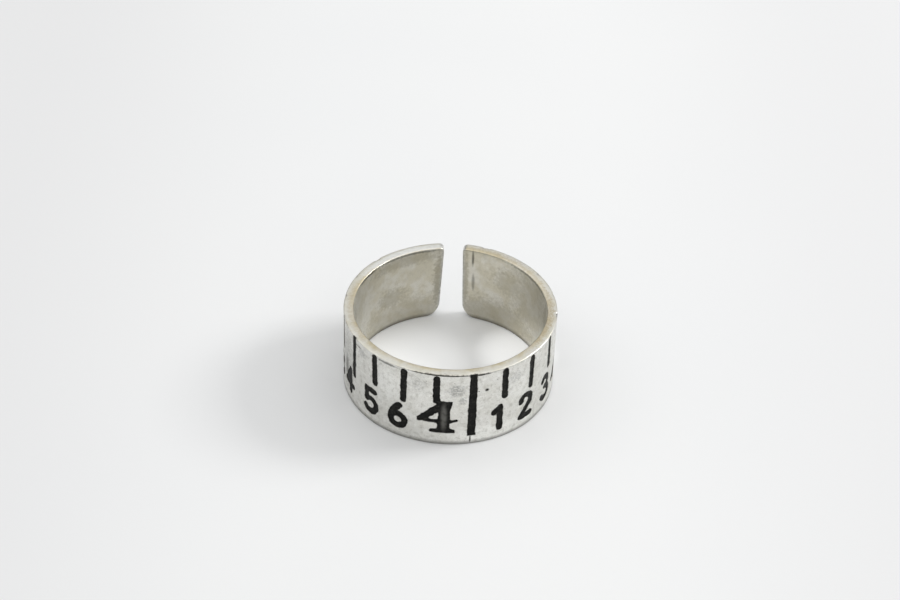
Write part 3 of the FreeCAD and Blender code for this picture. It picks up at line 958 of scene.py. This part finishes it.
def blackening(g, place, along, up, depth, mottle):
    """How black the metal is: in scars, pits and recesses, with painted shade lines along the upper edges
    and painted shade along the foot and lower edge.
    """
    below_face = g.math("MULTIPLY", g.ramp(depth, 0.004, 0.045), g.ramp(depth, 0.5, 0.33))
    recess = g.math("MULTIPLY", below_face, g.ramp(up, WIDTH - 0.05, WIDTH - 0.15))
    recess = g.math("MULTIPLY", recess, g.ramp(up, 0.05, 0.15))
    recess = g.math("MULTIPLY", recess, g.ramp(along, MARKS_REACH + 0.1, MARKS_REACH))
    # Painted shade: the lowest 0.6 mm of the metal darkens towards the paper, standing in for contact
    # shadow.
    foot = g.ramp(up, 0.60, 0.00)
    # Painted shade along the lower rounded edge and the underside.
    lower_edge_shade = g.math("MULTIPLY", below_face, g.ramp(up, 0.15, 0.05))
    pits = g.math("MULTIPLY", g.dots(place, 1.7, 0.075), g.ramp(mottle, 0.48, 0.62))
    dark = g.math("MAXIMUM", spot_strength(g, place, SCARS_AND_EDGE_SHADE, 1.3), spot_strength(g, place, PITS, 0.4))
    for spread, strength in ((pits, 0.70), (recess, 0.92), (foot, 0.62), (lower_edge_shade, 0.75)):
        dark = g.math("MAXIMUM", dark, g.math("MULTIPLY", spread, strength))
    return dark


def metal_base_colour(g, place, along, depth, inside, rim, mottle):
    """Base colour: pale outside and tan on the rim; inside darker, olive to grey, as painted shade and
    painted reflection of warm surroundings.
    """
    # Painted shade and reflection: the inside wall's darker, warmer copies of the silver.
    wall = g.mix(g.ramp(along, *WALL_GREY_FROM_TO), SHADED_WALL_OLIVE, SHADED_WALL_GREY)
    base = g.mix(inside, FACE_SILVER, wall)
    inwards = g.math("ADD", depth, g.math("MULTIPLY", mottle, 0.5))
    base = g.mix(rim, base, g.mix(g.ramp(inwards, 0.55, 1.05), RIM_PALE, RIM_TAN))
    cloud = g.noise(place, 0.62, 3.0)
    return g.mix(g.ramp(cloud, 0.38, 0.62, 0.0, 0.45), base, PALE_SILVER)


def tarnish_and_painted_light(g, place, metal, inside, rim, mottle, grain):
    """The metal with its painted highlights, random lighter patches, blotches, speckle, stained spots, and
    painted shade low on the inner wall.
    """
    plain = g.math("MAXIMUM", inside, rim)
    fresh = g.ramp(g.noise(place, 2.3, 5.0), 0.54, 0.61, 0.0, 0.35)
    fresh = g.math("MULTIPLY", fresh, g.ramp(plain, 1.0, 0.0))
    # Painted highlights from the listed spots, with random lighter patches.
    bright = g.math("MAXIMUM", spot_strength(g, place, HIGHLIGHT_SPOTS, 0.9), fresh)
    colour = g.mix(bright, metal, RUBBED_AND_HIGHLIGHT_SILVER)
    blotch = g.math("MULTIPLY", g.ramp(mottle, 0.46, 0.72, 0.0, 0.42), g.ramp(plain, 1.0, 0.0, 0.28, 1.0))
    colour = g.mix(blotch, colour, BLOTCH)
    speckle = g.math("MULTIPLY", g.ramp(grain, 0.55, 0.72, 0.0, 0.40), g.ramp(plain, 1.0, 0.0, 0.3, 1.0))
    colour = g.mix(speckle, colour, SPECKLE)
    broken = g.ramp(g.noise(place, 6.0, 3.0), 0.36, 0.60, g.ramp(inside, 0.0, 1.0, 0.2, 0.88), 1.0)
    # Stains, and painted shade low on the inner wall.
    stains_and_shade = g.math("MULTIPLY", spot_strength(g, place, STAINS_AND_SHADE, 1.8), broken)
    tint = g.mix(rim, g.mix(inside, FACE_STAIN, WALL_STAIN_AND_SHADE), RIM_STAIN)
    return g.mix(stains_and_shade, colour, tint)


def silver():
    """Worn cast silver: satin, pitted outside, warm on the rim, darker and olive inside as painted shade
    and reflection, with painted shade along the edges and foot and painted highlights in places.
    """
    g = Graph("silver_wear_and_painted_light")
    place = g.flat()
    split = g.node("ShaderNodeSeparateXYZ")
    g.feed(split.inputs[0], place)
    along = g.math("ABSOLUTE", split.outputs["X"])
    up, depth = split.outputs["Y"], split.outputs["Z"]
    inside = g.ramp(depth, THICK - 0.16, THICK - 0.03)
    rim = g.ramp(up, WIDTH - 0.09, WIDTH - 0.01)
    mottle = g.noise(place, 1.9, 5.0, 0.62)
    grain = g.noise(place, 9.0, 3.0)

    dark = blackening(g, place, along, up, depth, mottle)
    metal = metal_base_colour(g, place, along, depth, inside, rim, mottle)
    colour = tarnish_and_painted_light(g, place, metal, inside, rim, mottle, grain)
    g.feed(g.shader.inputs["Base Color"], g.mix(dark, colour, BLACKENED))
    g.shader.inputs["Metallic"].default_value = 1.0
    rough = g.math("ADD", g.ramp(mottle, 0.3, 0.7, 0.30, 0.46), g.math("MULTIPLY", dark, 0.2))
    g.feed(g.shader.inputs["Roughness"], rough)

    stretched = g.vector("MULTIPLY", place, (0.5, 6.0, 6.0))
    scratches = g.noise(stretched, 2.6, 3.0, 0.6)
    relief = g.math("ADD", g.math("MULTIPLY", mottle, 0.9), g.math("MULTIPLY", grain, 0.35))
    relief = g.math("ADD", relief, g.math("MULTIPLY", scratches, 0.25))
    relief = g.math("SUBTRACT", relief, g.math("MULTIPLY", dark, 0.5))
    g.bump(relief, 0.35, 0.00010)
    return g.material


ENAMEL_BLACK = (0.0025, 0.0025, 0.0018, 1)
ENAMEL_PATCH = (0.007, 0.007, 0.006, 1)
ENAMEL_GRIT = (0.030, 0.029, 0.023, 1)
ENAMEL_PAINTED_HIGHLIGHT = (0.150, 0.147, 0.134, 1)

# Painted highlight: a lighter band down the middle of the 4's wide stem, standing in for reflected light.
HIGHLIGHT_BEARING = -1.4
HIGHLIGHT_HEIGHT = 3.2
HIGHLIGHT_REACH = (0.42, 2.3, 1.0)


def enamel():
    """Near-black filling, matt and patchy, with a painted highlight down the middle of the 4's wide stem.
    """
    g = Graph("black_enamel")
    place = g.flat()
    patchy = g.noise(place, 1.6, 3.0)
    grain = g.noise(place, 8.0, 3.0)
    grit = g.noise(place, 5.0, 4.0, 0.7)
    dull = g.mix(g.ramp(patchy, 0.35, 0.75), ENAMEL_BLACK, ENAMEL_PATCH)
    dull = g.mix(g.ramp(grit, 0.48, 0.68), dull, ENAMEL_GRIT)
    off = g.vector("SUBTRACT", place, (HIGHLIGHT_BEARING * DEGREE, HIGHLIGHT_HEIGHT, 0.0))
    away = g.vector("LENGTH", g.vector("DIVIDE", off, HIGHLIGHT_REACH))
    # Painted highlight: lighter base colour down the 4's stem.
    painted_highlight = g.math("MULTIPLY", g.ramp(away, 1.0, 0.2), g.ramp(patchy, 0.3, 0.6, 0.45, 1.0))
    colour = g.mix(painted_highlight, dull, ENAMEL_PAINTED_HIGHLIGHT)
    g.feed(g.shader.inputs["Base Color"], colour)
    g.feed(g.shader.inputs["Roughness"], g.ramp(patchy, 0.3, 0.7, 0.55, 0.40))
    g.shader.inputs["Specular IOR Level"].default_value = 0.13
    g.bump(g.math("ADD", patchy, g.math("MULTIPLY", grain, 0.5)), 0.5, 0.00008)
    return g.material


PAPER_WHITES = ((0.840, 0.843, 0.845, 1), (0.860, 0.860, 0.857, 1))
PAPER_SHADED_SIDES = (0.790, 0.787, 0.789, 1)
PAPER_SHADE_REACH = (0.012, 0.050)  # painted shade: the paper greys a little to either side, in metres


def paper():
    """Matt white paper with a faint tooth, and painted shade greying it to either side."""
    g = Graph("white_paper")
    place = g.node("ShaderNodeTexCoord").outputs["Object"]
    tooth = g.noise(place, 900.0, 3.0)
    soft = g.noise(place, 18.0, 2.0)
    split = g.node("ShaderNodeSeparateXYZ")
    g.feed(split.inputs[0], place)
    # Painted shade: darker towards the sides.
    side_shade = g.ramp(g.math("ABSOLUTE", split.outputs["X"]), *PAPER_SHADE_REACH)
    middle = g.mix(g.ramp(soft, 0.3, 0.7), *PAPER_WHITES)
    colour = g.mix(side_shade, middle, PAPER_SHADED_SIDES)
    g.feed(g.shader.inputs["Base Color"], colour)
    g.shader.inputs["Roughness"].default_value = 0.92
    g.shader.inputs["Specular IOR Level"].default_value = 0.2
    g.bump(tooth, 0.15, 0.00005)
    return g.material


# ---------------------------------------------------------------- stage, light, camera
FLOOR_HALF = 900  # half the side of the sheet


def build_stage():
    """A plain sheet of paper under everything."""
    corners = [Vector((x * FLOOR_HALF, y * FLOOR_HALF, 0)) for x, y in ((-1, -1), (1, -1), (1, 1), (-1, 1))]
    floor = mesh_object("paper_floor", corners, [(0, 1, 2, 3)])
    floor.data.materials.append(paper())


# Softboxes: name, position (m), size (m), power (W).
SOFTBOXES = [
    ("key_softbox", (0.43, 0.12, 0.29), 0.16, 1.15),
    ("fill_softbox", (-0.30, 0.06, 0.20), 0.24, 0.08),
]

# The white tent overhead is brighter than its sides.
OVERHEAD_FROM_TO = (0.30, 0.75)
HORIZON_LIGHT = 0.22
ZENITH_LIGHT = 1.05
TENT_WHITE = (0.990, 0.998, 1.0, 1)


def build_light():
    """The tent as the world's light, and the softboxes in it."""
    world = bpy.data.worlds.new("studio")
    bpy.context.scene.world = world
    world.use_nodes = True
    tree = world.node_tree
    direction = tree.nodes.new("ShaderNodeTexCoord").outputs["Generated"]
    split = tree.nodes.new("ShaderNodeSeparateXYZ")
    tree.links.new(direction, split.inputs[0])
    overhead = tree.nodes.new("ShaderNodeMapRange")
    overhead.interpolation_type = "SMOOTHSTEP"
    for socket, number in zip(overhead.inputs[1:], (*OVERHEAD_FROM_TO, HORIZON_LIGHT, ZENITH_LIGHT)):
        socket.default_value = number
    tree.links.new(split.outputs["Z"], overhead.inputs[0])
    sky = tree.nodes["Background"]
    sky.inputs["Color"].default_value = TENT_WHITE
    tree.links.new(overhead.outputs[0], sky.inputs["Strength"])
    bpy.context.scene.view_settings.view_transform = "Standard"
    for name, position, size, power in SOFTBOXES:
        lamp = bpy.data.lights.new(name, "AREA")
        lamp.shape = "SQUARE"
        lamp.size = size
        lamp.energy = power
        box = bpy.data.objects.new(name, lamp)
        box.location = position
        box.rotation_euler = (-box.location).to_track_quat("-Z", "Y").to_euler()
        bpy.context.scene.collection.objects.link(box)


# Light that the bright wall throws on the paper inside the ring: position x, y (m), reach (m), power (W).
GLINTS = [(-0.0034, 0.0018, 0.0066, 0.78), (0.0064, 0.0036, 0.0046, 1.35)]
GLINT_HEIGHT = 0.30


def build_glints():
    """One soft spot straight down for each patch of thrown light."""
    for index, (x, y, reach, power) in enumerate(GLINTS):
        lamp = bpy.data.lights.new(f"glint_{index + 1}", "SPOT")
        lamp.energy = power
        lamp.shadow_soft_size = 0.0005
        lamp.spot_size = 2 * math.atan(reach / GLINT_HEIGHT)
        lamp.spot_blend = 1.0
        spot = bpy.data.objects.new(lamp.name, lamp)
        spot.location = (x, y, GLINT_HEIGHT)
        bpy.context.scene.collection.objects.link(spot)


CAMERA_ELEVATION = 40.25
CAMERA_AWAY = 0.18995
CAMERA_TILTS = (0.0371, 0.00048, math.radians(-2.243))  # pitch, yaw and roll
CAMERA_LENS = 80
CAMERA_SENSOR = 36


def build_camera():
    """Looks down at the front of the ring, with the small tilts of a hand-held shot."""
    elevation = math.radians(CAMERA_ELEVATION)
    pitch, yaw, roll = CAMERA_TILTS
    to_ring = Vector((0, math.cos(elevation), -math.sin(elevation)))
    right = Vector((1, 0, 0))
    up = right.cross(to_ring)
    turn = Matrix.Rotation(pitch, 3, right)
    forward, up = turn @ to_ring, turn @ up
    turn = Matrix.Rotation(yaw, 3, up)
    forward, right = turn @ forward, turn @ right
    turn = Matrix.Rotation(roll, 3, forward)
    right, up = turn @ right, turn @ up
    data = bpy.data.cameras.new("camera")
    data.lens = CAMERA_LENS
    data.sensor_width = CAMERA_SENSOR
    data.clip_start = 0.01
    camera = bpy.data.objects.new("camera", data)
    facing = Matrix((right, up, -forward)).transposed().to_4x4()
    camera.matrix_world = Matrix.Translation(-to_ring * CAMERA_AWAY) @ facing
    bpy.context.scene.collection.objects.link(camera)
    bpy.context.scene.camera = camera


# ---------------------------------------------------------------- moving parts
def carry(obj, arm):
    """Gives a piece to the front or to an arm; a piece reaching into the bend between them gets no body,
    only a baked transform.
    """
    ys = [v.co.y * 1000 for v in obj.data.vertices]
    if max(ys) <= BEND_START:
        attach(obj, "front")
    elif min(ys) >= BEND_END:
        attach(obj, arm)
    else:
        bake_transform(obj)


def build_ring():
    """Builds every piece, named after the CAD node it replaces, hides that node and hands the piece to
    carry() or its body.
    """
    recesses = make_marks()
    fields = [Field(shapes) for shapes, _ in recesses]
    band = build_band(fields, silver())
    for name, obj in band.items():
        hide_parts(name.replace("_metal", ""))
    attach(band["band_front_metal"], "front")
    carry(band["band_left_arm_metal"], "left_arm")
    carry(band["band_right_arm_metal"], "right_arm")
    black = enamel()
    for (shapes, parts), field in zip(recesses, fields):
        low_x, high_x, _, _ = bounds_of(shapes)
        arm = "left_arm" if low_x + high_x < 0 else "right_arm"
        for node, clips in parts:
            obj = build_enamel(node + "_fill", field.clipped(clips), black)
            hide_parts(node)
            carry(obj, arm)


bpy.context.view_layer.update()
build_ring()
build_stage()
build_light()
build_glints()
build_camera()
